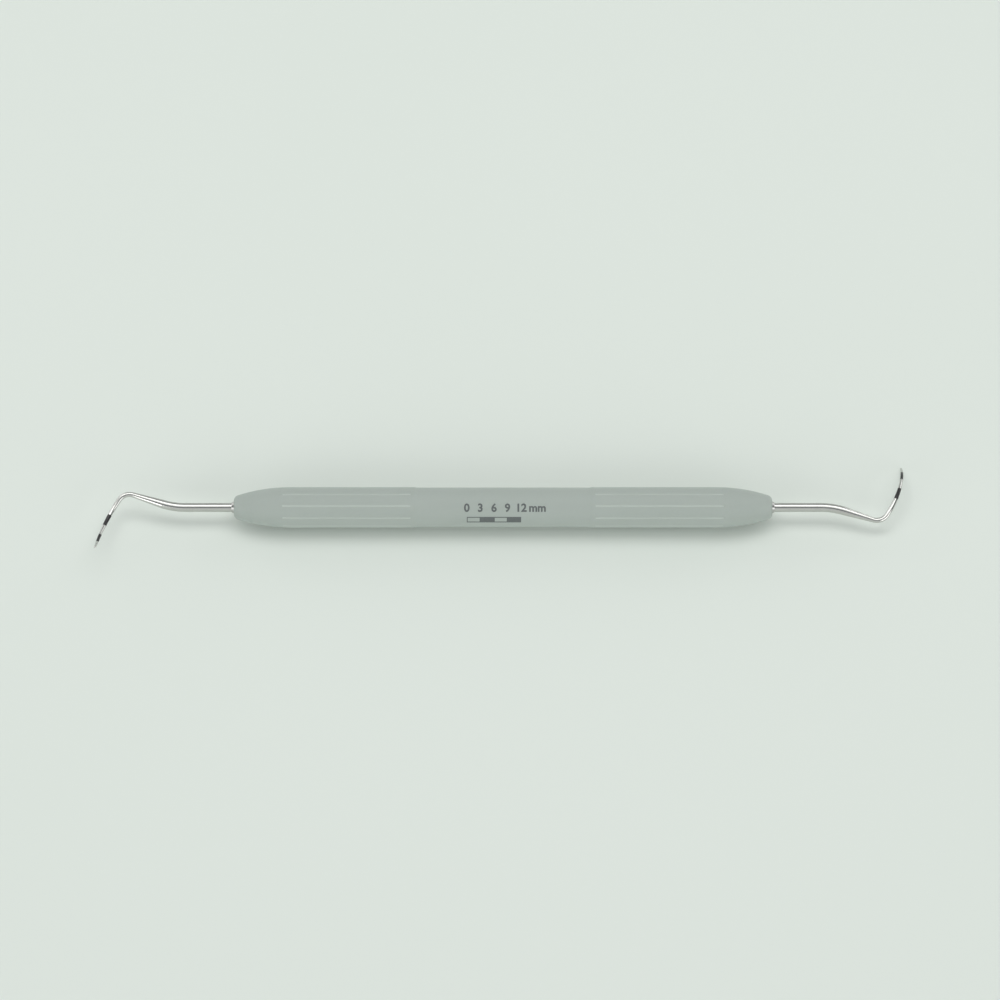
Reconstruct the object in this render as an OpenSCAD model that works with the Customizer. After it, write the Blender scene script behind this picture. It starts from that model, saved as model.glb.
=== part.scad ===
/*
 * Double-ended furcation probe with a silicone grip.
 *
 * Millimetres. The handle's axis is X, its middle is the origin, and +Z is up
 * off the table that the probe lies on: the lowest line of the grip and the
 * end of the right tip touch that table together.
 *
 * A thin steel tube is the handle's core. A turned plug closes each end of it
 * and holds a tip's tang in a blind bore. The silicone is moulded over all
 * three. The two tips are mirror images, turned half round from each other.
 */

/* [Handle] */
// Length of the silicone sleeve
sleeve_length = 119.4; // [100:0.2:130]
// Diameter over the two grooved grips
grip_d = 9.0; // [8.6:0.1:13]
// Diameter of the plain middle
middle_d = 8.8; // [8.2:0.1:12.6]
// Length of the plain middle at its full diameter
middle_length = 38.0; // [20:0.2:46]
// Length of the soft step between the middle and a grip
step_length = 0.8; // [0.5:0.1:3]
// Length of the bullet-shaped nose at each end
nose_length = 12.5; // [9:0.1:16]
// Diameter of a nose's flat end, before its edge is rounded
nose_end_d = 4.8; // [4.6:0.1:6]
// Radius of the edge round a nose's flat end
nose_edge_r = 1.1; // [0.3:0.1:1.2]

/* [Grip grooves] */
// Grooves round each grip
groove_count = 10; // [6:1:16]
// Length of a groove
groove_length = 28.4; // [15:0.2:30]
// Distance from the soft step to the grooves
groove_inset = 0.6; // [0.2:0.1:3]
// Width of a groove at the grip's surface
groove_width = 0.5; // [0.3:0.05:1]
// Depth of a groove
groove_depth = 0.16; // [0.1:0.02:0.4]
// Angle from the normal of the shanks' plane to the nearest groove
groove_phase = 5; // [-18:1:18]

/* [Core] */
// Outside diameter of the core tube
core_d = 6.0; // [5:0.1:7]
// Wall of the core tube
core_wall = 0.5; // [0.3:0.05:0.8]
// Distance from the sleeve's end to the end of the core tube and its plug's collar
core_setback = 7.6; // [6:0.1:11]

/* [End plugs] */
// Length of a plug inside the tube
plug_length = 9.0; // [6:0.2:14]
// Thickness of the collar that stops a plug at the tube's end
collar_length = 1.0; // [0.6:0.1:1.4]
// Metal round the tang in a plug's neck, which the silicone grips
neck_wall = 0.8; // [0.6:0.05:1]
// Metal round the tang at the bottom of the locking groove in the neck
lock_groove_wall = 0.5; // [0.35:0.05:0.55]
// Width of the locking groove
lock_groove_width = 1.4; // [0.6:0.1:2]
// Length of the slim nose inside the silicone
plug_nose_length = 2.0; // [1:0.1:3]
// Metal round the tang where the nose leaves the silicone
plug_nose_wall = 0.4; // [0.25:0.05:0.5]
// Metal round the shank at the nose's rim
plug_rim_wall = 0.12; // [0.1:0.01:0.2]
// Length of the nose that stands out of the silicone
plug_proud = 0.5; // [0.4:0.1:1.5]
// Metal left behind the end of the tang's bore
bore_floor = 1.5; // [0.8:0.1:3]
// Radial room for the adhesive between a tang and its bore
tang_gap = 0.02; // [0:0.01:0.05]

/* [Tips] */
// Diameter of the tang and of the straight shank
shank_d = 2.0; // [1.8:0.05:2.1]
// Chamfer on the tang's hidden end
tang_chamfer = 0.3; // [0.1:0.05:0.5]
// Straight shank outside the sleeve, up to the first bend
straight_length = 10.8; // [7:0.1:14]
// Angle of the first bend
first_bend = 17.3; // [10:0.1:22]
// Centreline radius of the first bend
first_bend_r = 17.5; // [12:0.5:25]
// Straight stretch between the bends
reach_length = 6.7; // [5:0.1:12]
// Centreline radius of the second bend
second_bend_r = 2.8; // [2:0.1:4]
// Slope of the working end where the second bend stops, down from the handle's axis
hook_slope = 57; // [40:1:65]
// Slope of the working end at its point, down from the handle's axis
point_slope = 88; // [70:1:100]
// How far the working end has turned out of the shanks' plane at its point
hook_turn = 68; // [60:1:88]
// Length of the curved working end
hook_length = 16.1; // [14:0.1:20]
// How much thinner than the straight shank it is as it leaves the first bend
first_taper = 0.05; // [0.02:0.01:0.2]
// Diameter at the second bend
bend_d = 1.14; // [1:0.02:1.4]
// Diameter at the deepest mark
deep_mark_d = 0.95; // [0.7:0.01:1.1]
// Diameter at the point
point_d = 0.48; // [0.4:0.01:0.6]

/* [Depth marks] */
// Distance between the edges of the marks, from the point
mark_pitch = 3; // [2:0.5:3]
// Depth of the recess that the black resin fills
mark_depth = 0.05; // [0.03:0.01:0.08]

/* [Hidden] */

$fn = 64;

half_sleeve = sleeve_length / 2;
grip_r = grip_d / 2;
middle_r = middle_d / 2;
core_r = core_d / 2;
shank_r = shank_d / 2;
neck_r = shank_r + neck_wall;
lock_groove_r = shank_r + lock_groove_wall;
plug_nose_r = shank_r + plug_nose_wall;
plug_rim_r = shank_r + plug_rim_wall;
tube_half = half_sleeve - core_setback - collar_length;
plug_inner_end = tube_half - plug_length;
bore_end = plug_inner_end + bore_floor;
collar_face = tube_half + collar_length;
neck_end = half_sleeve - plug_nose_length;
lock_start = (collar_face + neck_end - lock_groove_width) / 2;
cut_past = 0.5;              // how far a cutter runs past what it cuts

// The nose is an arc that is tangent to the grip and ends at the flat end's radius.
nose_drop = grip_r - nose_end_d / 2;
nose_arc_r = (pow(nose_length, 2) + pow(nose_drop, 2)) / (2 * nose_drop);
nose_steps = 18;
edge_steps = 6;

// A groove is cut by a thin rod whose surface meets the grip at the groove's width.
groove_rod_r = (pow(groove_width / 2, 2) + pow(groove_depth, 2)) / (2 * groove_depth);
groove_start = middle_length / 2 + step_length + groove_inset;

// Colours
silicone_grey = [0.63, 0.66, 0.63];
tube_steel = [0.62, 0.63, 0.64];
plug_steel = [0.70, 0.70, 0.70];
tip_steel = [0.80, 0.80, 0.79];
mark_black = [0.08, 0.08, 0.09];

/* ---------------- the tip's centreline, in its own frame ----------------
 * +X leaves the handle, +Y is the side that the first bend leans to, and the
 * working end turns towards +Z. s is the length along the centreline from the
 * sleeve's end.
 */
bend_1_start = straight_length;
bend_1_end = bend_1_start + first_bend_r * first_bend * PI / 180;
bend_2_start = bend_1_end + reach_length;
bend_2_end = bend_2_start + second_bend_r * (first_bend + hook_slope) * PI / 180;
point_s = bend_2_end + hook_length;

function ramp(s, from, to) = min(1, max(0, (s - from) / (to - from)));

// Slope of the centreline below the X axis, in degrees
function slope(s) =
    -first_bend * ramp(s, bend_1_start, bend_1_end)
    + (first_bend + hook_slope) * ramp(s, bend_2_start, bend_2_end)
    + (point_slope - hook_slope) * ramp(s, bend_2_end, point_s);

// Turn of the centreline out of the XY plane, in degrees
function turn(s) = hook_turn * ramp(s, bend_2_end, point_s);

// Unit vectors along the centreline and across it
function along(s) = [cos(turn(s)) * cos(slope(s)), -cos(turn(s)) * sin(slope(s)), sin(turn(s))];
function across(s) = [-sin(slope(s)), -cos(slope(s)), 0];
function through(s) = [-sin(turn(s)) * cos(slope(s)), sin(turn(s)) * sin(slope(s)), cos(turn(s))];

// Radius of the bare steel. The bent part starts a hair thinner than the straight shank.
seam_step = 0.01;
point_r = point_d / 2;
deep_mark_s = point_s - 4 * mark_pitch;
function steel_r(s) = lookup(s, [
    [bend_1_start, shank_r - seam_step],
    [bend_1_end, shank_r - first_taper / 2],
    [bend_2_start, bend_d / 2],
    [bend_2_end, bend_d / 2],
    [deep_mark_s, deep_mark_d / 2],
    [point_s, point_r]]);

// Stations along the bent part of a tip, close together in the bends. Each mark, and each gap
// between marks, is a stretch with its own stations: 0 is the deep mark and 2 the shallow one.
bend_1_steps = 5;
reach_steps = 4;
bend_2_steps = 11;
stub_steps = 8;
mark_steps = 5;
function stations_after(from, to, steps) = [for (i = [1 : steps]) from + (to - from) * i / steps];
bent_stations = concat([bend_1_start],
    stations_after(bend_1_start, bend_1_end, bend_1_steps),
    stations_after(bend_1_end, bend_2_start, reach_steps),
    stations_after(bend_2_start, bend_2_end, bend_2_steps),
    stations_after(bend_2_end, deep_mark_s, stub_steps));
function stretch_start(k) = deep_mark_s + k * mark_pitch;
function stretch_stations(k) =
    concat([stretch_start(k)], stations_after(stretch_start(k), stretch_start(k + 1), mark_steps));
all_stations = concat(bent_stations, [for (k = [0 : 3]) for (s = stretch_stations(k)) s]);

// The point on the centreline at each station, by adding up short straight steps
function step(a, b) = (b - a) * along((a + b) / 2);
function walk(stations) =
    [for (i = 0, p = [stations[0], 0, 0];
          i < len(stations);
          p = i + 1 < len(stations) ? p + step(stations[i], stations[i + 1]) : p, i = i + 1) p];

all_points = walk(all_stations);
bent_count = len(bent_stations);
function first_of_stretch(k) = bent_count + k * (mark_steps + 1);
function is_mark(k) = k == 0 || k == 2;

// A ring is [centre, s, radius]. The first one lies inside the straight shank.
seam_lap = 0.6;
seam_ring = [[bend_1_start - seam_lap, 0, 0], bend_1_start, steel_r(bend_1_start)];
bent_rings = [for (i = [0 : bent_count - 1]) [all_points[i], bent_stations[i], steel_r(bent_stations[i])]];
function stretch_rings(k, inset) = [for (i = [0 : mark_steps])
    [all_points[first_of_stretch(k) + i], stretch_stations(k)[i], steel_r(stretch_stations(k)[i]) - inset]];

// The point is a half ball, drawn as rings that shrink to a small flat.
ball_steps = 5;
ball_sweep = 85;
point_centre = all_points[len(all_points) - 1];
ball_rings = [for (i = [1 : ball_steps])
    let (a = ball_sweep * i / ball_steps)
    [point_centre + along(point_s) * sin(a) * point_r, point_s, cos(a) * point_r]];

tip_rings = concat([seam_ring], bent_rings,
    [for (k = [0 : 3]) for (r = stretch_rings(k, is_mark(k) ? mark_depth : 0)) r],
    ball_rings);

tube_sides = 24;
function ring_points(ring) = [for (i = [0 : tube_sides - 1])
    let (a = 360 * i / tube_sides)
    ring[0] + ring[2] * (cos(a) * across(ring[1]) + sin(a) * through(ring[1]))];

/* How the tips are set in the handle: both turn about X until the right
 * point, below the handle's axis, touches the table under the grip.
 */
point_reach = norm([point_centre[1], point_centre[2]]);
set_angle = atan2(point_centre[2], -point_centre[1]) - asin((grip_r - point_r) / point_reach);

/* ---------------- helpers ---------------- */

// The side faces between ring j and the ring that follows it
function band_faces(j, next) = [for (i = [0 : tube_sides - 1]) let (k = (i + 1) % tube_sides)
    for (f = [[j * tube_sides + i, next * tube_sides + k, next * tube_sides + i],
              [j * tube_sides + i, j * tube_sides + k, next * tube_sides + k]]) f];

// A solid swept through a list of rings, closed at both ends
module sweep(rings) {
    last = len(rings) - 1;
    polyhedron(
        points = [for (r = rings) for (p = ring_points(r)) p],
        faces = concat(
            [[for (i = [tube_sides - 1 : -1 : 0]) i]],
            [for (j = [0 : last - 1]) for (f = band_faces(j, j + 1)) f],
            [[for (i = [0 : tube_sides - 1]) last * tube_sides + i]]));
}

// A sleeve swept along its outer rings and back along its inner ones
module sweep_sleeve(outer, inner) {
    rings = concat(outer, reversed(inner));
    polyhedron(
        points = [for (r = rings) for (p = ring_points(r)) p],
        faces = [for (j = [0 : len(rings) - 1]) for (f = band_faces(j, (j + 1) % len(rings))) f]);
}

// A solid of revolution about X, from an outline of [distance along X, radius]
module turned(outline) {
    rotate([0, 90, 0]) rotate_extrude() polygon([for (p = outline) [p[1], p[0]]]);
}

// Places a right-hand part at either end: 1 is the right end and -1 the left.
module at_end(side) {
    if (side > 0) rotate([set_angle + 180, 0, 0]) children();
    else rotate([set_angle, 0, 0]) mirror([1, 0, 0]) children();
}

// The outer outline of one half of the sleeve, from the middle to the right end
function sleeve_half_outline() = concat(
    [[middle_length / 2, middle_r], [middle_length / 2 + step_length, grip_r]],
    [for (i = [0 : nose_steps - 1])
        let (x = nose_arc_end * i / nose_steps)
        [half_sleeve - nose_length + x, nose_r(x)]],
    [for (i = [0 : edge_steps])
        let (a = nose_tilt + (90 - nose_tilt) * i / edge_steps)
        [half_sleeve - nose_edge_r + nose_edge_r * sin(a), edge_centre_r + nose_edge_r * cos(a)]]);

// Radius and tilt of the nose at x along it, and where its rounded edge takes over
function nose_r(x) = grip_r - (nose_arc_r - sqrt(pow(nose_arc_r, 2) - pow(x, 2)));
function nose_tilt_at(x) = asin(x / nose_arc_r);
nose_arc_end = nose_length - nose_edge_r * (1 - sin(nose_tilt_at(nose_length)));
nose_tilt = nose_tilt_at(nose_arc_end);
edge_centre_r = nose_r(nose_arc_end) - nose_edge_r * cos(nose_tilt);

// The space that the core and a plug fill, as an outline from the middle to the right end
function core_half_outline() = [
    [collar_face, core_r],
    [collar_face, neck_r],
    [lock_start, neck_r],
    [lock_start, lock_groove_r],
    [lock_start + lock_groove_width, lock_groove_r],
    [lock_start + lock_groove_width, neck_r],
    [neck_end, neck_r],
    [neck_end, plug_nose_r],
    [half_sleeve, plug_nose_r]];

function reversed(outline) = [for (i = [len(outline) - 1 : -1 : 0]) outline[i]];
function mirrored(outline) = reversed([for (p = outline) [-p[0], p[1]]]);

/* ---------------- the pieces ---------------- */

// A rod that cuts one groove along a grip, at the top of the right-hand one
module groove_rod() {
    translate([groove_start + groove_length / 2, grip_r - groove_depth + groove_rod_r, 0])
        rotate([0, 90, 0]) cylinder(h = groove_length, r = groove_rod_r, center = true);
}

// Silicone moulded over the core, with grooves along both grips
module grip_sleeve() {
    inner = core_half_outline();
    color(silicone_grey) difference() {
        turned(concat(
            mirrored(sleeve_half_outline()), sleeve_half_outline(),
            reversed(inner), reversed(mirrored(inner))));
        for (i = [0 : groove_count - 1])
            rotate([set_angle + 90 + groove_phase + 360 * i / groove_count, 0, 0]) {
                groove_rod();
                mirror([1, 0, 0]) groove_rod();
            }
    }
}

// Thin steel tube that stiffens the handle
module core_tube() {
    color(tube_steel) rotate([0, 90, 0]) difference() {
        cylinder(h = 2 * tube_half, r = core_r, center = true);
        cylinder(h = 2 * (tube_half + cut_past), r = core_r - core_wall, center = true);
    }
}

// Turned plug: a spigot in the tube, a collar, a grooved neck and a coned nose round the tang's bore
module end_plug(side) {
    color(plug_steel) at_end(side) difference() {
        turned(concat(
            [[plug_inner_end, 0], [plug_inner_end, core_r - core_wall],
             [tube_half, core_r - core_wall], [tube_half, core_r]],
            core_half_outline(),
            [[half_sleeve + plug_proud, plug_rim_r], [half_sleeve + plug_proud, 0]]));
        translate([bore_end, 0, 0]) rotate([0, 90, 0])
            cylinder(h = half_sleeve + plug_proud + cut_past - bore_end, r = shank_r + tang_gap);
    }
}

// Tang, straight shank, two bends and the curved working end, ground from one steel rod
module tip(side) {
    color(tip_steel) at_end(side) {
        turned([[bore_end, 0], [bore_end, shank_r - tang_chamfer],
                [bore_end + tang_chamfer, shank_r],
                [half_sleeve + bend_1_start, shank_r], [half_sleeve + bend_1_start, 0]]);
        translate([half_sleeve, 0, 0]) sweep(tip_rings);
    }
}

// Black resin that fills the recess of one stretch flush
module mark(side, k) {
    color(mark_black) at_end(side) translate([half_sleeve, 0, 0])
        sweep_sleeve(stretch_rings(k, 0), stretch_rings(k, mark_depth));
}

grip_sleeve();
core_tube();
end_plug(-1);  // left_end_plug
end_plug(1);  // right_end_plug
tip(-1);  // left_tip
tip(1);  // right_tip
mark(-1, 2);  // left_mark_3_to_6
mark(-1, 0);  // left_mark_9_to_12
mark(1, 2);  // right_mark_3_to_6
mark(1, 0);  // right_mark_9_to_12
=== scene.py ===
# %% [markdown]
# # A double-ended furcation probe
#
# This dental instrument measures pockets and gaps round the roots of teeth. It has a
# soft silicone handle and two thin curved steel tips with black depth marks.
#
# The engineering model comes first: it holds the real sizes, and it never moves. The
# cells below build the pieces that need a finer surface than that model has, lay
# real finishes on everything, and set up a small studio.

# %% Load the engineering model
import math

import bmesh
import bpy
from mathutils import Matrix, Vector


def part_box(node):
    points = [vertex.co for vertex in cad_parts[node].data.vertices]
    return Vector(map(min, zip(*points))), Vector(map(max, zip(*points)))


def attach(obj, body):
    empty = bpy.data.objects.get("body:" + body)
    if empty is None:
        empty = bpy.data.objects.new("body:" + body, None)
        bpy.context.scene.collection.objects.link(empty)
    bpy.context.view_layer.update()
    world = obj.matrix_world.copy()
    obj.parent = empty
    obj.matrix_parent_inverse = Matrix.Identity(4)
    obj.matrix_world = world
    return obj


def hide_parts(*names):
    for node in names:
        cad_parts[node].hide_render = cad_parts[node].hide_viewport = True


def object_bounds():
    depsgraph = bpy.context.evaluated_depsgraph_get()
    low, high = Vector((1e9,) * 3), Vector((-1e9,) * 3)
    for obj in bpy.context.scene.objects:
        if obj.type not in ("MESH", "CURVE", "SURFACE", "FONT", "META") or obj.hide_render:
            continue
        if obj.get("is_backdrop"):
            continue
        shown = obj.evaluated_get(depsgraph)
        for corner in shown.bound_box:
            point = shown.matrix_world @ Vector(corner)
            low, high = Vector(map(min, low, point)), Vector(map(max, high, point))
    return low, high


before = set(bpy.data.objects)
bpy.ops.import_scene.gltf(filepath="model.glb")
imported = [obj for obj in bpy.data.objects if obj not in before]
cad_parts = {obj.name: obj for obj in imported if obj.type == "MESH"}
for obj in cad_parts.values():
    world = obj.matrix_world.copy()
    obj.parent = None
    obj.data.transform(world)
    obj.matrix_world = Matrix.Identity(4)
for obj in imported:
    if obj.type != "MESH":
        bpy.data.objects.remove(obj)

cad_low, cad_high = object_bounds()
print("pieces in the model:", sorted(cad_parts))

# %% [markdown]
# ## Sizes
#
# The probe lies along X, its middle is the origin, and Z points up from the table.
# What the model can tell is measured on it, so that a piece drawn here always meets
# its neighbours. The other sizes are the ones that the model was designed with.

# %% Sizes of the handle
MM = 0.001
BODY = "root"

sleeve_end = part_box("grip_sleeve")[1].x
grip_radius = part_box("grip_sleeve")[1].z
tube_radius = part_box("core_tube")[1].z
collar_length = 1.0 * MM
collar_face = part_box("core_tube")[1].x + collar_length

middle_radius = 4.4 * MM
middle_end = 19.0 * MM
step_end = 19.8 * MM
nose_length = 12.5 * MM
nose_end_radius = 2.4 * MM
nose_edge = 1.1 * MM
print(f"sleeve {2 * sleeve_end / MM:.1f} mm long, {2 * grip_radius / MM:.1f} mm thick")

# %% [markdown]
# ## Working as by hand
#
# Every piece starts from one of Blender's own primitives, which is then shaped with the
# same tools that the menus offer. Such a tool acts on whatever is selected, so these
# helpers first clear the selection, and then pick vertices, edges or faces by their
# place.

# %% Helpers for starting, picking and settling
TINY = 0.001 * MM


def deselect_all():
    """Leaves nothing selected, so that the next tool touches only what is meant."""
    bpy.ops.object.select_all(action="DESELECT")


def open_piece(name):
    """Names the primitive that was just added, puts its place in its mesh and opens it."""
    piece = bpy.context.object
    piece.name = name
    piece.data.name = name
    bpy.ops.object.transform_apply(location=True, rotation=True, scale=True)
    bpy.ops.object.mode_set(mode="EDIT")
    return piece


def pick(kind, test):
    """Selects the vertices, edges or faces whose middle passes the test, and counts them."""
    bpy.ops.mesh.select_mode(type=kind)
    bpy.ops.mesh.select_all(action="DESELECT")
    mesh = bmesh.from_edit_mesh(bpy.context.object.data)
    items = {"VERT": mesh.verts, "EDGE": mesh.edges, "FACE": mesh.faces}[kind]
    chosen = [item for item in items if test(middle_of(item, kind))]
    for item in chosen:
        item.select_set(True)
    mesh.select_flush_mode()
    bmesh.update_edit_mesh(bpy.context.object.data)
    return len(chosen)


def middle_of(item, kind):
    """The middle of a vertex, edge or face."""
    if kind == "VERT":
        return item.co
    return sum((vertex.co for vertex in item.verts), Vector()) / len(item.verts)


def close_piece(piece, smooth_angle=40):
    """Merges doubles, turns the faces outwards, leaves edit mode and smooths the shading."""
    bpy.ops.mesh.select_all(action="SELECT")
    bpy.ops.mesh.remove_doubles(threshold=TINY)
    bpy.ops.mesh.normals_make_consistent(inside=False)
    bpy.ops.object.mode_set(mode="OBJECT")
    bpy.ops.object.shade_smooth_by_angle(angle=math.radians(smooth_angle))
    print(f"{piece.name}: {len(piece.data.vertices)} vertices")


def apply_modifier(piece, kind, **settings):
    """Adds a modifier with these settings and applies it."""
    modifier = piece.modifiers.new(kind.lower(), kind)
    for name, value in settings.items():
        setattr(modifier, name, value)
    bpy.context.view_layer.objects.active = piece
    bpy.ops.object.modifier_apply(modifier=modifier.name)


# %% [markdown]
# ## How the tips are bent
#
# A tip is a straight steel rod that is ground to a taper and then bent. Its middle line
# is described by a slope and a turn at each length along it: one gentle bend away from
# the handle's axis, one tight bend back across it, and then a long hook whose slope and
# turn grow evenly up to the point. Adding up short steps along that direction gives the
# line itself.

# %% The middle line of the right tip
shank_radius = 1.0 * MM
straight_length = 10.8 * MM
first_bend = 17.3
first_bend_radius = 17.5 * MM
reach_length = 6.7 * MM
second_bend_radius = 2.8 * MM
hook_slope = 57
point_slope = 88
hook_turn = 68
hook_length = 16.1 * MM
point_radius = 0.24 * MM

bend_1_start = straight_length
bend_1_end = bend_1_start + first_bend_radius * math.radians(first_bend)
bend_2_start = bend_1_end + reach_length
bend_2_end = bend_2_start + second_bend_radius * math.radians(first_bend + hook_slope)
point = bend_2_end + hook_length


def ramp(s, start, end):
    """Rises evenly from 0 at start to 1 at end."""
    return min(1, max(0, (s - start) / (end - start)))


def direction(s):
    """Where the middle line is heading, s along it from the end of the sleeve."""
    slope = math.radians(
        -first_bend * ramp(s, bend_1_start, bend_1_end)
        + (first_bend + hook_slope) * ramp(s, bend_2_start, bend_2_end)
        + (point_slope - hook_slope) * ramp(s, bend_2_end, point))
    turn = math.radians(hook_turn * ramp(s, bend_2_end, point))
    return Vector((math.cos(turn) * math.cos(slope),
                   -math.cos(turn) * math.sin(slope),
                   math.sin(turn)))


def walk(stations):
    """The points of the middle line at these lengths along it."""
    points = [Vector((stations[0], 0, 0))]
    for here, there in zip(stations, stations[1:]):
        points.append(points[-1] + (there - here) * direction((here + there) / 2))
    return points


# %% [markdown]
# The tips are set in the handle at such an angle that the right one's point touches the
# table together with the grip. The same angle places the grooves of the grip, so it is
# worked out here.

# %% The angle at which the tips are set
guide_step = 0.1 * MM
steps_to_point = round((point - bend_1_start) / guide_step)
guide_stations = [bend_1_start + (point - bend_1_start) * i / steps_to_point
                  for i in range(steps_to_point + 1)]
guide_points = walk(guide_stations)
end_y, end_z = guide_points[-1].y, guide_points[-1].z
set_angle = math.atan2(end_z, -end_y) - math.asin(
    (grip_radius - point_radius) / math.hypot(end_y, end_z))
print(f"the tips are set at {math.degrees(set_angle):.2f} degrees")

# %% [markdown]
# ## The silicone grip
#
# The real grip is liquid silicone rubber, moulded over the steel core. Anything round
# like this can be drawn as one outline and spun about its axis, as on a potter's wheel.
# The outline goes along the outside from one end to the other and comes back along the
# steel inside, so the spin gives a closed shell with a true wall. One vertex, extruded
# from point to point, draws it.

# %% Draw the outline of the grip
neck_radius = 1.8 * MM
lock_radius = 1.5 * MM
lock_width = 1.4 * MM
plug_nose_radius = 1.4 * MM
plug_nose_length = 2.0 * MM

ring_spacing = 2.2 * MM
step_rings = 5
nose_rings = 20
edge_rings = 8

groove_inset = 0.6 * MM
groove_length = 28.4 * MM
groove_phase = 5

groove_start = step_end + groove_inset
groove_end = groove_start + groove_length
groove_angle = set_angle + math.radians(90 + groove_phase)
neck_end = sleeve_end - plug_nose_length
lock_start = (collar_face + neck_end - lock_width) / 2
lock_end = lock_start + lock_width
nose_start = sleeve_end - nose_length
nose_drop = grip_radius - nose_end_radius
nose_arc = (nose_length ** 2 + nose_drop ** 2) / (2 * nose_drop)


def nose_surface(x):
    """Radius of the nose at x past its start: an arc that leaves the grip without a crease."""
    return grip_radius - (nose_arc - math.sqrt(nose_arc ** 2 - x ** 2))


def spread(start, end, count):
    """Evenly spaced values from start to end, without the start."""
    return [start + (end - start) * i / count for i in range(1, count + 1)]


def outer_half():
    """The outside of one half, as (distance from the middle, radius)."""
    arc_end = nose_length - nose_edge * (1 - nose_length / nose_arc)
    tilt = math.asin(arc_end / nose_arc)
    edge_radius = nose_surface(arc_end) - nose_edge * math.cos(tilt)
    half = [(x, middle_radius) for x in spread(0, middle_end, round(middle_end / ring_spacing))]
    for share in spread(0, 1, step_rings):
        rise = (1 - math.cos(math.pi * share)) / 2
        half.append((middle_end + (step_end - middle_end) * share,
                     middle_radius + (grip_radius - middle_radius) * rise))
    half.append((groove_start, grip_radius))
    half += [(x, grip_radius) for x in
             spread(groove_start, nose_start, round((nose_start - groove_start) / ring_spacing))]
    half.append((groove_end, nose_surface(groove_end - nose_start)))
    half += [(x, nose_surface(x - nose_start)) for x in
             spread(groove_end, nose_start + arc_end, nose_rings)]
    for angle in spread(tilt, math.pi / 2, edge_rings):
        half.append((sleeve_end - nose_edge + nose_edge * math.sin(angle),
                     edge_radius + nose_edge * math.cos(angle)))
    return half


def inner_half():
    """The inside of one half, where the silicone grips the steel, from the end to the middle."""
    return [(sleeve_end, plug_nose_radius), (neck_end, plug_nose_radius),
            (neck_end, neck_radius), (lock_end, neck_radius),
            (lock_end, lock_radius), (lock_start, lock_radius),
            (lock_start, neck_radius), (collar_face, neck_radius),
            (collar_face, tube_radius), (middle_end, tube_radius)]


def mirrored(half):
    """The same half at the other end, drawn in the opposite order."""
    return [(-x, radius) for x, radius in reversed(half)]


up = Vector((0, math.cos(groove_angle), math.sin(groove_angle)))
outline = (mirrored(outer_half()) + [(0, middle_radius)] + outer_half()
           + inner_half() + mirrored(inner_half()))

deselect_all()
bpy.ops.mesh.primitive_plane_add(size=MM)
grip = open_piece("silicone_grip")
bpy.ops.mesh.merge(type="CENTER")
places = [Vector((x, 0, 0)) + radius * up for x, radius in outline]
bpy.ops.transform.translate(value=places[0])
for here, there in zip(places, places[1:] + places[:1]):
    bpy.ops.mesh.extrude_region_move(TRANSFORM_OT_translate={"value": there - here})
bpy.ops.mesh.select_all(action="SELECT")
bpy.ops.mesh.remove_doubles(threshold=TINY)
print("the outline has", len(places), "points")

# %% [markdown]
# The spin turns the outline through a full circle in steps of three degrees. Ten
# grooves share the circle, so each groove's middle falls exactly on a column of the
# mesh, and the two columns beside that line become the groove.

# %% Spin the outline
columns = 120
grooves = 10

bpy.ops.mesh.select_all(action="SELECT")
bpy.ops.mesh.spin(steps=columns, angle=math.tau, center=(0, 0, 0), axis=(1, 0, 0))
bpy.ops.mesh.select_all(action="SELECT")
bpy.ops.mesh.remove_doubles(threshold=TINY)
bpy.ops.mesh.normals_make_consistent(inside=False)

# %% [markdown]
# ## Grooves for the fingers
#
# Each groove is just under 0.5 mm wide and 0.16 mm deep, with a round bottom and soft
# rims. The groove's faces are inset, which keeps a narrow bank at the rim, then drawn in
# towards the axis. A second pull on the middle line alone rounds the bottom, and a small
# bevel softens the rims as rubber from a mould has them.

# %% Press the grooves into the grips
column_angle = math.tau / columns
groove_spacing = math.tau / grooves
bank_width = 0.13 * MM
rim_bevel = 0.03 * MM
skin_margin = 0.4 * MM
first_depth = 0.1 * MM
second_depth = 0.06 * MM


def off_groove(place):
    """Angle about the handle's axis from the nearest groove's middle line."""
    angle = math.atan2(place.z, place.y) - groove_angle
    return abs((angle + groove_spacing / 2) % groove_spacing - groove_spacing / 2)


def in_groove_length(place):
    return groove_start - TINY < abs(place.x) < groove_end + TINY


def on_outside(place):
    return math.hypot(place.y, place.z) > grip_radius - skin_margin


def in_groove(place):
    return in_groove_length(place) and on_outside(place) and off_groove(place) < column_angle


def draw_in(depth):
    """Moves what is selected towards the handle's axis."""
    share = 1 - depth / grip_radius
    bpy.ops.transform.resize(value=(1, share, share), center_override=(0, 0, 0))


faces = pick("FACE", in_groove)
bpy.ops.mesh.inset(thickness=bank_width, depth=0)
draw_in(first_depth)
print("faces in the grooves:", faces)
bottoms = pick("VERT", lambda place: in_groove(place) and off_groove(place) < column_angle / 8
               and math.hypot(place.y, place.z) < grip_radius - first_depth / 2
               and groove_start + 2 * bank_width < abs(place.x) < groove_end - 2 * bank_width)
draw_in(second_depth)
print("points along the groove bottoms:", bottoms)


def on_rim(place):
    """An edge of the groove's border: it lies at the surface, one column from the middle line."""
    side = abs(off_groove(place) - column_angle) < column_angle / 20
    ends = abs(abs(place.x) - groove_start) < TINY or abs(abs(place.x) - groove_end) < TINY
    long_rim = side and in_groove_length(place)
    end_rim = ends and off_groove(place) < column_angle
    return on_outside(place) and (long_rim or end_rim)


rims = pick("EDGE", on_rim)
bpy.ops.mesh.bevel(offset=rim_bevel, segments=2, affect="EDGES")
close_piece(grip)
print("rim edges softened:", rims)

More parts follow.
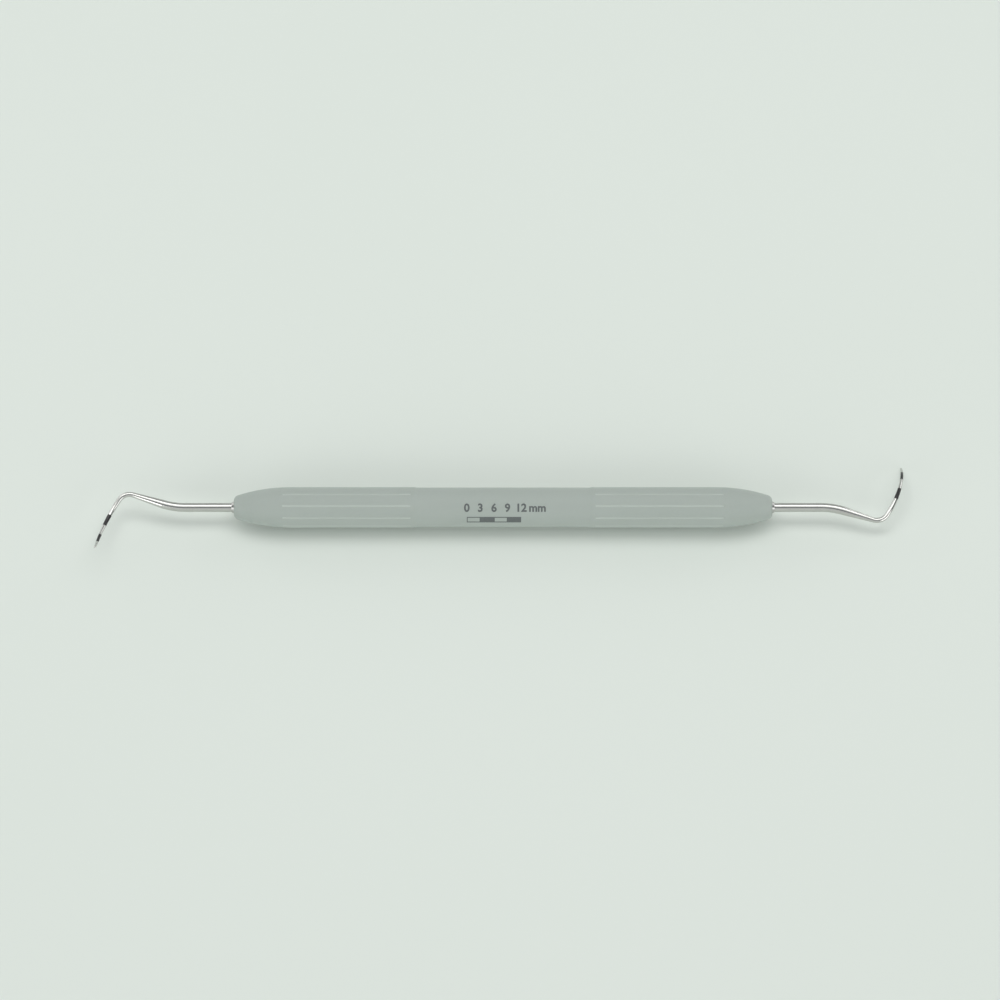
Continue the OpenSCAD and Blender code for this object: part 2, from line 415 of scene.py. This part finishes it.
# %% [markdown]
# A finish that should follow the grooves needs to know how deep each point lies. That
# number is stored with the mesh as an attribute, which a material can read.

# %% Store the groove depth


def design_radius(x):
    """Radius of the grip at x as if it had no grooves."""
    return nose_surface(max(0, abs(x) - nose_start))


depths = grip.data.attributes.new("groove_depth", "FLOAT", "POINT")
for vertex, item in zip(grip.data.vertices, depths.data):
    if in_groove_length(vertex.co) and on_outside(vertex.co):
        sunk = design_radius(vertex.co.x) - math.hypot(vertex.co.y, vertex.co.z)
        item.value = sunk / (first_depth + second_depth)
deepest = max(item.value for item in depths.data)
print(f"the deepest point is at {deepest:.2f} of the full depth")
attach(grip, BODY)
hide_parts("grip_sleeve")

# %% [markdown]
# ## The steel tips
#
# The real tip is ground straight and bent afterwards, and that is also the easiest way
# to model it. A disc is extruded along X, a little narrower at each station, until it
# ends in a small ball. Where the depth marks go, the rod steps in by the thickness of
# the resin. A Curve modifier then bends the straight rod along the middle line, and
# every mark stays at its true distance from the point.

# %% The rod's radius along its length
bore_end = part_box("right_tip")[0].x
tang_chamfer = 0.3 * MM
reach_radius = 0.975 * MM
bend_radius = 0.57 * MM
deep_mark_radius = 0.475 * MM
mark_pitch = 3 * MM
mark_spans = 4
mark_depth = 0.05 * MM

rod_sides = 32
mark_rings = 10
point_rings = 7
point_sweep = math.radians(80)

deep_mark = point - mark_spans * mark_pitch
mark_starts = {"9_to_12": deep_mark, "3_to_6": deep_mark + 2 * mark_pitch}
ground_profile = [(bend_1_start, shank_radius), (bend_1_end, reach_radius),
                  (bend_2_start, bend_radius), (bend_2_end, bend_radius),
                  (deep_mark, deep_mark_radius), (point, point_radius)]


def ground_radius(s):
    """Radius of the ground steel, s along the middle line."""
    for (start, first), (end, last) in zip(ground_profile, ground_profile[1:]):
        if s <= end:
            return first + (last - first) * ramp(s, start, end)
    return point_radius


def rod_stations():
    """Where the rod gets a ring, as (x, radius): closer together where it bends more."""
    rings = [(bore_end + tang_chamfer, shank_radius), (sleeve_end, shank_radius),
             (sleeve_end + bend_1_start, shank_radius)]
    stretches = [(bend_1_start, bend_1_end, 10), (bend_1_end, bend_2_start, 6),
                 (bend_2_start, bend_2_end, 28), (bend_2_end, deep_mark, 16)]
    for start, end, count in stretches:
        rings += [(sleeve_end + s, ground_radius(s)) for s in spread(start, end, count)]
    for k in range(mark_spans):
        start = deep_mark + k * mark_pitch
        inset = mark_depth if start in mark_starts.values() else 0
        if inset:
            rings.append((sleeve_end + start, ground_radius(start) - inset))
        rings += [(sleeve_end + s, ground_radius(s) - inset)
                  for s in spread(start, start + mark_pitch, mark_rings)]
        if inset:
            rings.append((sleeve_end + start + mark_pitch, ground_radius(start + mark_pitch)))
    for angle in spread(0, point_sweep, point_rings):
        rings.append((sleeve_end + point + point_radius * math.sin(angle),
                      point_radius * math.cos(angle)))
    return rings


print(f"the point is {(sleeve_end + point) / MM:.1f} mm from the middle, along the rod")

# %% Draw the straight rod


def start_disc(name, x, radius, fill):
    """Adds a round disc or ring that faces along the handle, ready to be extruded."""
    deselect_all()
    bpy.ops.mesh.primitive_circle_add(vertices=rod_sides, radius=radius, fill_type=fill,
                                      location=(x, 0, 0), rotation=(0, math.pi / 2, 0))
    piece = open_piece(name)
    bpy.ops.mesh.select_all(action="SELECT")
    return piece


def extrude_ring(step, x, share):
    """Extrudes what is selected along the rod, and narrows it about the rod's middle line."""
    bpy.ops.mesh.extrude_region_move(TRANSFORM_OT_translate={"value": (step, 0, 0)})
    bpy.ops.transform.resize(value=(1, share, share), center_override=(x, 0, 0))


def extrude_along(rings, x, radius):
    """Extrudes from x and radius through each ring in turn."""
    for next_x, next_radius in rings:
        extrude_ring(next_x - x, next_x, next_radius / radius)
        x, radius = next_x, next_radius


right_tip = start_disc("right_steel_tip", bore_end, shank_radius - tang_chamfer, "NGON")
extrude_along(rod_stations(), bore_end, shank_radius - tang_chamfer)
bpy.ops.mesh.merge(type="CENTER")
close_piece(right_tip)

# %% [markdown]
# Polishing lines run along the rod and round its bends. So that the finish can follow
# them, each point's place on the straight rod is stored before the rod is bent.
#
# The guide for the bend starts in the middle of the handle and runs along X, so that a
# distance along the guide is the same number as x on the straight rod.

# %% Bend a straight piece along the tip's middle line


def place_at_right(place):
    """Turns the tip's own frame to the way it sits in the right end of the handle."""
    along = Vector((place.x + sleeve_end, place.y, place.z))
    return Matrix.Rotation(set_angle + math.pi, 3, "X") @ along


past_point = guide_points[-1] + direction(point) * MM
guide_places = [Vector()] + [place_at_right(place) for place in guide_points + [past_point]]
guide_line = bpy.data.curves.new("bending_guide", "CURVE")
guide_line.dimensions = "3D"
spline = guide_line.splines.new("POLY")
spline.points.add(len(guide_places) - 1)
for spline_point, place in zip(spline.points, guide_places):
    spline_point.co = (*place, 1)
guide = bpy.data.objects.new("bending_guide", guide_line)
bpy.context.collection.objects.link(guide)


def bend_to_shape(piece):
    """Stores the straight shape, then bends the piece along the guide."""
    straight = piece.data.attributes.new("straight", "FLOAT_VECTOR", "POINT")
    for vertex, item in zip(piece.data.vertices, straight.data):
        item.vector = vertex.co
    apply_modifier(piece, "CURVE", object=guide, deform_axis="POS_X")


bend_to_shape(right_tip)
low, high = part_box("right_tip")
reach = max(vertex.co.x for vertex in right_tip.data.vertices)
lowest = min(vertex.co.z for vertex in right_tip.data.vertices)
print(f"bent tip reaches {reach / MM:.2f} mm, the model's {high.x / MM:.2f} mm")
print(f"lowest point {lowest / MM:.2f} mm, the model's {low.z / MM:.2f} mm")

# %% [markdown]
# ## The black depth marks
#
# The marks are bands of black resin, 3 to 6 mm and 9 to 12 mm from the point. Each is a
# thin sleeve in a recess of the steel. A ring is extruded along the recess, Solidify
# gives the resin its thickness up to the steel's surface, and a tiny bevel rounds its
# edges, as a resin that has set in a groove looks. It is bent on the same guide as the
# rod.

# %% Fill the recesses
resin_bevel = 0.012 * MM


def resin_band(name, start):
    """A sleeve of resin in the recess that begins at start."""
    rings = [(sleeve_end + s, ground_radius(s) - mark_depth)
             for s in spread(start, start + mark_pitch, mark_rings)]
    radius = ground_radius(start) - mark_depth
    band = start_disc(name, sleeve_end + start, radius, "NOTHING")
    extrude_along(rings, sleeve_end + start, radius)
    close_piece(band)
    apply_modifier(band, "SOLIDIFY", thickness=mark_depth, offset=1, use_even_offset=True)
    apply_modifier(band, "BEVEL", width=resin_bevel, segments=2, limit_method="ANGLE")
    bend_to_shape(band)
    return band


right_marks = {span: resin_band(f"right_resin_{span}", start)
               for span, start in mark_starts.items()}

# %% [markdown]
# ## The other end
#
# The left tip is the right one's mirror image, mirrored through the handle's middle
# point: scaling by minus one along all three axes does exactly that. Such a scale turns
# the mesh inside out, so its faces are turned outwards again. Each copy gets a mesh of
# its own.

# %% Copy the tip and its marks to the left end


def other_end(piece, name):
    """A copy of the piece, mirrored through the middle of the handle."""
    deselect_all()
    copy = piece.copy()
    copy.data = piece.data.copy()
    bpy.context.collection.objects.link(copy)
    copy.name = name
    copy.data.name = name
    copy.select_set(True)
    bpy.context.view_layer.objects.active = copy
    bpy.ops.object.mode_set(mode="EDIT")
    bpy.ops.mesh.select_all(action="SELECT")
    bpy.ops.transform.resize(value=(-1, -1, -1), center_override=(0, 0, 0))
    close_piece(copy)
    return copy


left_tip = other_end(right_tip, "left_steel_tip")
left_marks = {span: other_end(band, f"left_resin_{span}")
              for span, band in right_marks.items()}
bpy.data.objects.remove(guide)

for side, tip, marks in (("left", left_tip, left_marks), ("right", right_tip, right_marks)):
    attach(tip, BODY)
    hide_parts(f"{side}_tip")
    for span, band in marks.items():
        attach(band, BODY)
        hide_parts(f"{side}_mark_{span}")

# %% [markdown]
# ## The printed key
#
# A dark pad print on the plain middle of the handle explains the marks: a bar with the
# black and bare bands of the tip at their real size, and the distances from the point in
# millimetres. A pad printer presses the ink straight down on the curved handle. The key
# is drawn flat in the same way, cut into narrow strips so that it can follow the curve,
# and pressed on with a Shrinkwrap modifier. The strokes are thickened a little. With more
# steps to each curve, such thickened strokes would fold over themselves in the corners.

# %% Draw the key flat
print_tilt = math.radians(30.3)
digit_height = 1.8 * MM
digit_row = -0.9 * MM
bar_top = -2.1 * MM
bar_bottom = -3.3 * MM
bar_line = 0.18 * MM
bar_left = -8.0 * MM
unit_place = 5.2
cap_share = 0.73
boldness = 0.03
curve_steps = 4


def flat_digits(words, x):
    """Lettering in the built-in font, centred on x and turned into a mesh."""
    deselect_all()
    bpy.ops.object.text_add(location=(x, digit_row, 0))
    text = bpy.context.object
    text.data.body = words
    text.data.size = digit_height / cap_share
    text.data.align_x = "CENTER"
    text.data.offset = boldness * text.data.size
    text.data.resolution_u = curve_steps
    bpy.ops.object.convert(target="MESH")
    bpy.ops.object.transform_apply(location=True, rotation=True, scale=True)
    return bpy.context.object


def flat_band(start, filled):
    """One band of the bar: a full block of ink, or only its outline."""
    x = bar_left + start
    middle, height = (bar_top + bar_bottom) / 2, bar_top - bar_bottom
    deselect_all()
    bpy.ops.mesh.primitive_plane_add(size=1, location=(x + mark_pitch / 2, middle, 0))
    bpy.context.object.scale = (mark_pitch, height, 1)
    band = open_piece("band")
    if not filled:
        bpy.ops.mesh.inset(thickness=bar_line, depth=0)
        bpy.ops.mesh.delete(type="FACE")
    bpy.ops.object.mode_set(mode="OBJECT")
    return band


key_parts = [flat_digits(str(round(k * mark_pitch / MM)), bar_left + k * mark_pitch)
             for k in range(mark_spans + 1)]
key_parts.append(flat_digits("mm", bar_left + unit_place * mark_pitch))
key_parts += [flat_band(k * mark_pitch, filled=k % 2 == 1) for k in range(mark_spans)]

deselect_all()
for part in key_parts:
    part.select_set(True)
bpy.context.view_layer.objects.active = key_parts[0]
bpy.ops.object.join()
key = bpy.context.object
key.name = "printed_key"
key.data.name = "printed_key"
print(f"the key is {key.dimensions.x / MM:.1f} by {key.dimensions.y / MM:.1f} mm")

# %% Press the key onto the handle
strip = 0.2 * MM
# Part of a strip, so that no cut falls on a line of the bar or on the feet of the digits.
first_cut = 0.37 * strip
ink = 0.012 * MM
ink_grip = 0.004 * MM

bpy.ops.object.mode_set(mode="EDIT")
bpy.ops.mesh.select_all(action="SELECT")
bpy.ops.mesh.remove_doubles(threshold=TINY)
height = digit_row + digit_height - first_cut
while height > bar_bottom:
    bpy.ops.mesh.select_all(action="SELECT")
    bpy.ops.mesh.bisect(plane_co=(0, height, 0), plane_no=(0, 1, 0))
    height -= strip
bpy.ops.mesh.select_all(action="SELECT")
bpy.ops.mesh.dissolve_degenerate(threshold=TINY)
bpy.ops.mesh.delete_loose()
bpy.ops.object.mode_set(mode="OBJECT")

key.rotation_euler.x = print_tilt
key.location = Matrix.Rotation(print_tilt, 3, "X") @ Vector((0, 0, 2 * grip_radius))
bpy.context.view_layer.update()
apply_modifier(key, "SHRINKWRAP", target=grip, wrap_method="PROJECT", use_project_z=True,
               use_negative_direction=True, use_positive_direction=False, offset=-ink_grip)
bpy.ops.object.transform_apply(location=True, rotation=True, scale=True)
apply_modifier(key, "SOLIDIFY", thickness=ink + ink_grip, offset=1)
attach(key, BODY)
print("ink vertices:", len(key.data.vertices))

# %% [markdown]
# ## Finishes
#
# Colours are written as the hex codes that a colour picker shows. Blender reckons in
# linear light, so one function translates them. Another adds a node, with its settings
# and with what feeds each of its sockets.

# %% Helpers for finishes


def linear(code):
    """An sRGB hex colour as linear red, green, blue and alpha."""
    channels = [int(code[i:i + 2], 16) / 255 for i in (1, 3, 5)]
    return tuple(c / 12.92 if c <= 0.04045 else ((c + 0.055) / 1.055) ** 2.4
                 for c in channels) + (1,)


def add_node(tree, kind, feeds=None, **settings):
    """Adds a node. Each feed is a socket's name or number, and a value or another node's output."""
    made = tree.nodes.new(kind)
    for name, value in settings.items():
        setattr(made, name, value)
    for socket, value in (feeds or {}).items():
        if isinstance(value, bpy.types.NodeSocket):
            tree.links.new(value, made.inputs[socket])
        else:
            made.inputs[socket].default_value = value
    return made


def start_finish(name, **surface):
    """A new material with a Principled shader. Constant values go straight on its sockets."""
    material = bpy.data.materials.new(name)
    material.use_nodes = True
    shader = material.node_tree.nodes["Principled BSDF"]
    for socket, value in surface.items():
        shader.inputs[socket.replace("_", " ")].default_value = value
    return material, material.node_tree, shader


def lay_on(material, *pieces):
    """Gives these pieces this one finish."""
    for piece in pieces:
        piece.data.materials.clear()
        piece.data.materials.append(material)
        print(f"{piece.name}: {material.name}")


# %% [markdown]
# ### Moulded silicone rubber
#
# The mould is spark-eroded, so the rubber comes out with a fine matt grain. Silicone is
# slightly cloudy: a little light goes in and comes out beside the place where it went
# in, which softens every shadow. Handling leaves it faintly uneven. The grooves are
# painted paler, a painted highlight for the light that their lower flanks catch. The
# grain is really finer than a tenth of a millimetre; it is drawn a little coarser so
# that it shows.

# %% Silicone finish
# The Mix node keeps its two colours at these sockets, and its result at this one.
MIX_A, MIX_B, MIX_RESULT = 6, 7, 2


def moulded_silicone():
    material, tree, shader = start_finish(
        "moulded_silicone_rubber", IOR=1.41, Subsurface_Weight=0.25,
        Subsurface_Scale=0.8 * MM, Subsurface_Radius=(0.6, 0.6, 0.5),
        Sheen_Weight=0.05, Sheen_Roughness=0.5)
    place = add_node(tree, "ShaderNodeTexCoord").outputs["Object"]
    clouds = add_node(tree, "ShaderNodeTexNoise", {
        "Vector": place, "Scale": 1 / (7 * MM), "Detail": 3.0})
    specks = add_node(tree, "ShaderNodeTexNoise", {
        "Vector": place, "Scale": 1 / (0.6 * MM), "Detail": 2.0})
    uneven = add_node(tree, "ShaderNodeMix", {
        "Factor": clouds.outputs["Fac"], MIX_A: linear("#A0A9A3"), MIX_B: linear("#A9B1AC")},
        data_type="RGBA")
    speckled = add_node(tree, "ShaderNodeMix", {
        "Factor": specks.outputs["Fac"],
        MIX_A: uneven.outputs[MIX_RESULT], MIX_B: linear("#A8B0AA")},
        data_type="RGBA")
    depth = add_node(tree, "ShaderNodeAttribute", attribute_name="groove_depth").outputs["Fac"]
    # Painted highlight: the grooves turn paler towards their bottoms, standing in for the light
    # that their lower flanks catch.
    painted_groove_highlight = add_node(tree, "ShaderNodeMapRange", {"Value": depth, "From Max": 0.5})
    with_painted_highlight = add_node(tree, "ShaderNodeMix", {
        "Factor": painted_groove_highlight.outputs["Result"],
        MIX_A: speckled.outputs[MIX_RESULT], MIX_B: linear("#BAC2BC")},
        data_type="RGBA")
    tree.links.new(with_painted_highlight.outputs[MIX_RESULT], shader.inputs["Base Color"])

    grain = add_node(tree, "ShaderNodeTexNoise", {
        "Vector": place, "Scale": 1 / (0.16 * MM), "Detail": 2.0})
    skin = add_node(tree, "ShaderNodeMapRange", {
        "Value": clouds.outputs["Fac"], "To Min": 0.54, "To Max": 0.68})
    bump = add_node(tree, "ShaderNodeBump", {
        "Height": grain.outputs["Fac"], "Distance": 0.012 * MM, "Strength": 0.5})
    tree.links.new(skin.outputs["Result"], shader.inputs["Roughness"])
    tree.links.new(bump.outputs["Normal"], shader.inputs["Normal"])
    return material


lay_on(moulded_silicone(), grip)

# %% [markdown]
# ### Polished stainless steel
#
# Instrument tips are hardened stainless steel, ground and then polished along their
# length. The eye sees sharp reflections that are drawn out a little across the rod,
# and hair-thin lines along it. The noise reads the stored straight shape, stretched
# forty times along the rod, so that its lines run round the bends with the steel.

# %% Steel finish for the tips


def polished_steel():
    material, tree, shader = start_finish("polished_stainless_steel", Metallic=1.0)
    straight = add_node(tree, "ShaderNodeAttribute", attribute_name="straight").outputs["Vector"]
    stretch = add_node(tree, "ShaderNodeMapping", {"Vector": straight, "Scale": (1 / 40, 1, 1)})
    lines = add_node(tree, "ShaderNodeTexNoise", {
        "Vector": stretch.outputs["Vector"], "Scale": 1 / (0.12 * MM), "Detail": 3.0})
    clouds = add_node(tree, "ShaderNodeTexNoise", {
        "Vector": straight, "Scale": 1 / (3 * MM), "Detail": 2.0})
    tone = add_node(tree, "ShaderNodeMix", {
        "Factor": clouds.outputs["Fac"], MIX_A: linear("#C2C2BE"), MIX_B: linear("#D0D0CD")},
        data_type="RGBA")
    gloss = add_node(tree, "ShaderNodeMapRange", {
        "Value": lines.outputs["Fac"],
        "From Min": 0.3, "From Max": 0.7, "To Min": 0.1, "To Max": 0.24})
    bump = add_node(tree, "ShaderNodeBump", {
        "Height": lines.outputs["Fac"], "Distance": 0.002 * MM, "Strength": 0.4})
    tree.links.new(tone.outputs[MIX_RESULT], shader.inputs["Base Color"])
    tree.links.new(gloss.outputs["Result"], shader.inputs["Roughness"])
    tree.links.new(bump.outputs["Normal"], shader.inputs["Normal"])
    return material


lay_on(polished_steel(), left_tip, right_tip)

# %% [markdown]
# ### Turned and drawn stainless steel
#
# The plugs come off a lathe, whose tool leaves fine rings round them. The core tube is
# drawn through a die, which leaves lines along it. One finish serves both: the same
# noise, squeezed along the handle for rings or drawn out along it for lines.

# %% Steel finish for the plugs and the tube


def worked_steel(name, stretch_along, dark, light, line_width):
    material, tree, shader = start_finish(name, Metallic=1.0)
    place = add_node(tree, "ShaderNodeTexCoord").outputs["Object"]
    stretch = add_node(tree, "ShaderNodeMapping", {"Vector": place, "Scale": stretch_along})
    lines = add_node(tree, "ShaderNodeTexNoise", {
        "Vector": stretch.outputs["Vector"], "Scale": 1 / line_width, "Detail": 2.0})
    tone = add_node(tree, "ShaderNodeMix", {
        "Factor": lines.outputs["Fac"], MIX_A: linear(dark), MIX_B: linear(light)},
        data_type="RGBA")
    gloss = add_node(tree, "ShaderNodeMapRange", {
        "Value": lines.outputs["Fac"], "To Min": 0.2, "To Max": 0.38})
    bump = add_node(tree, "ShaderNodeBump", {
        "Height": lines.outputs["Fac"], "Distance": 0.004 * MM, "Strength": 0.5})
    tree.links.new(tone.outputs[MIX_RESULT], shader.inputs["Base Color"])
    tree.links.new(gloss.outputs["Result"], shader.inputs["Roughness"])
    tree.links.new(bump.outputs["Normal"], shader.inputs["Normal"])
    return material


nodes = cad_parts
turned_steel = worked_steel(
    "turned_stainless_steel", (1, 0.05, 0.05), "#A9A9A6", "#C6C6C3", 0.08 * MM)
drawn_steel = worked_steel(
    "drawn_stainless_steel", (0.03, 1, 1), "#9C9D9C", "#B4B5B5", 0.1 * MM)
lay_on(turned_steel, nodes["left_end_plug"], nodes["right_end_plug"])
lay_on(drawn_steel, nodes["core_tube"])

# %% [markdown]
# ### Black epoxy resin and pad-printing ink
#
# The marks are filled with black epoxy, flush with the polished steel, so they shine
# softly and show a few brownish pinholes and rubs. The print on the silicone is a thin
# matt ink that is a little patchy where the pad lifted off.

# %% Resin and ink finishes


def coloured_film(name, dark, light, cloud_size, gloss_range, **surface):
    material, tree, shader = start_finish(name, **surface)
    place = add_node(tree, "ShaderNodeTexCoord").outputs["Object"]
    clouds = add_node(tree, "ShaderNodeTexNoise", {
        "Vector": place, "Scale": 1 / cloud_size, "Detail": 3.0})
    tone = add_node(tree, "ShaderNodeMix", {
        "Factor": clouds.outputs["Fac"], MIX_A: linear(dark), MIX_B: linear(light)},
        data_type="RGBA")
    gloss = add_node(tree, "ShaderNodeMapRange", {
        "Value": clouds.outputs["Fac"], "To Min": gloss_range[0], "To Max": gloss_range[1]})
    bump = add_node(tree, "ShaderNodeBump", {
        "Height": clouds.outputs["Fac"], "Distance": 0.003 * MM, "Strength": 0.5})
    tree.links.new(tone.outputs[MIX_RESULT], shader.inputs["Base Color"])
    tree.links.new(gloss.outputs["Result"], shader.inputs["Roughness"])
    tree.links.new(bump.outputs["Normal"], shader.inputs["Normal"])
    return material


resin = coloured_film("black_epoxy_resin", "#121214", "#232022", 0.35 * MM, (0.22, 0.4), IOR=1.55)
pad_ink = coloured_film(
    "pad_printing_ink", "#565B5B", "#6B706F", 0.25 * MM, (0.5, 0.7), IOR=1.48)
lay_on(resin, *left_marks.values(), *right_marks.values())
lay_on(pad_ink, key)

# %% [markdown]
# ## The studio
#
# The probe lies on a wide pale board. Its matt laminate takes a soft shadow and shows no
# clear reflection.

# %% The board
board_size = 8.0

deselect_all()
bpy.ops.mesh.primitive_plane_add(size=board_size, location=(0, 0, cad_low.z))
board = open_piece("pale_board")
bpy.ops.mesh.subdivide(number_cuts=3)
bpy.ops.object.mode_set(mode="OBJECT")
board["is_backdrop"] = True


def matt_laminate():
    material, tree, shader = start_finish("matt_laminate", Roughness=0.7, IOR=1.45)
    place = add_node(tree, "ShaderNodeTexCoord").outputs["Object"]
    clouds = add_node(tree, "ShaderNodeTexNoise", {
        "Vector": place, "Scale": 1 / (250 * MM), "Detail": 2.0})
    tone = add_node(tree, "ShaderNodeMix", {
        "Factor": clouds.outputs["Fac"], MIX_A: linear("#DBE2DB"), MIX_B: linear("#DFE5DF")},
        data_type="RGBA")
    tree.links.new(tone.outputs[MIX_RESULT], shader.inputs["Base Color"])
    return material


lay_on(matt_laminate(), board)

# %% [markdown]
# The key soft box hangs above the probe and a little behind it. Four more stand at the
# corners, where they light the silicone's flanks and don't show as a line in the shanks.

# %% The lamps
corner_out, corner_off, corner_up = 0.75, 0.62, 0.3


def soft_box(name, width, depth, watts, place):
    """A rectangular lamp at place that faces the probe."""
    lamp = bpy.data.lights.new(name, "AREA")
    lamp.shape = "RECTANGLE"
    lamp.size, lamp.size_y, lamp.energy = width, depth, watts
    stand = bpy.data.objects.new(name, lamp)
    stand.location = place
    stand.rotation_euler = (-Vector(place)).to_track_quat("-Z", "Y").to_euler()
    bpy.context.collection.objects.link(stand)
    print(f"{name}: {watts} W")


soft_box("key_soft_box", 0.8, 0.35, 1.5, (0.0, 0.2, 0.66))
for side, x in (("left", -corner_out), ("right", corner_out)):
    soft_box(f"front_{side}_soft_box", 0.8, 0.5, 3.1, (x, -corner_off, corner_up))
    soft_box(f"back_{side}_soft_box", 0.8, 0.5, 1.6, (x, corner_off, corner_up))

# %% [markdown]
# Polished steel shows whatever surrounds it, so the room matters as much as the lamps.
# It is bright overhead and dim at the sides, and it has a dark gap where the camera
# stands, which draws the dark line along each shank. A colour ramp reads how far to the
# front or back each direction points, and the sides are then mixed with a darker grey.

# %% The room
# Its tone from the front wall to the far wall, as shares of the way and hex colours.
room_bands = [(0.0, "#E0E3E1"), (0.1, "#DCDFDD"), (0.17, "#7E8286"), (0.27, "#6C7074"),
              (0.36, "#F2F4F2"), (0.72, "#ECEEEC"), (0.84, "#A6AAAA"), (1.0, "#BCC0BE")]
# Where the sides start to darken, where they are darkest, and how dark they get.
side_start, side_end = 0.5, 0.8
side_tone = "#55595D"


def build_room():
    """A room that is bright overhead, with dim sides, a dark gap in front and a dimmer far wall."""
    room = bpy.data.worlds.new("studio_room")
    bpy.context.scene.world = room
    room.use_nodes = True
    tree = room.node_tree
    heading = add_node(tree, "ShaderNodeTexCoord").outputs["Generated"]
    axes = add_node(tree, "ShaderNodeSeparateXYZ", {"Vector": heading})
    front_to_back = add_node(tree, "ShaderNodeMapRange", {
        "Value": axes.outputs["Y"], "From Min": -1.0, "From Max": 1.0})
    bands = add_node(tree, "ShaderNodeValToRGB", {"Fac": front_to_back.outputs["Result"]})
    stops = bands.color_ramp.elements
    stops[0].color, stops[1].color = linear(room_bands[0][1]), linear(room_bands[-1][1])
    for share, code in room_bands[1:-1]:
        stops.new(share).color = linear(code)
    sideways = add_node(tree, "ShaderNodeMath", {0: axes.outputs["X"]}, operation="ABSOLUTE")
    side = add_node(tree, "ShaderNodeMapRange", {
        "Value": sideways.outputs["Value"], "From Min": side_start, "From Max": side_end})
    tone = add_node(tree, "ShaderNodeMix", {
        "Factor": side.outputs["Result"], MIX_A: bands.outputs["Color"], MIX_B: linear(side_tone)},
        data_type="RGBA")
    tree.links.new(tone.outputs[MIX_RESULT], tree.nodes["Background"].inputs["Color"])


build_room()
print("tones from front to back:", len(room_bands))

# %% [markdown]
# ## The camera
#
# A long lens from 0.8 m away looks down on the handle at almost 60 degrees, and the
# whole probe fits the width of the picture.

# %% Camera and view
camera_elevation = math.radians(59.7)
camera_distance = 0.8
sensor_width = 36
view_width = 0.222
aim_right = -0.67 * MM
aim_up = 1.64 * MM

to_camera = Vector((0, -math.cos(camera_elevation), math.sin(camera_elevation)))
picture_up = Vector((0, math.sin(camera_elevation), math.cos(camera_elevation)))
aim = Vector((aim_right, 0, 0)) + aim_up * picture_up
lens = bpy.data.cameras.new("product_camera")
lens.sensor_width = sensor_width
lens.lens = sensor_width * camera_distance / view_width
lens.clip_start = 0.01
camera = bpy.data.objects.new("product_camera", lens)
camera.location = aim + camera_distance * to_camera
camera.rotation_euler = to_camera.to_track_quat("Z", "Y").to_euler()
bpy.context.collection.objects.link(camera)
bpy.context.scene.camera = camera
bpy.context.scene.view_settings.view_transform = "Standard"
print(f"lens {lens.lens:.1f} mm")

# %% [markdown]
# ## Sizes at the end
#
# The finished probe's box is set beside the engineering model's box, and the gaps
# between their low and high corners are printed in millimetres.

# %% Write the sizes and finish
seen_low, seen_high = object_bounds()
for label, corner, cad_corner in (("low", seen_low, cad_low), ("high", seen_high, cad_high)):
    gaps = [round((a - b) / MM, 3) for a, b in zip(corner, cad_corner)]
    print(label, gaps, "mm from the model's box")
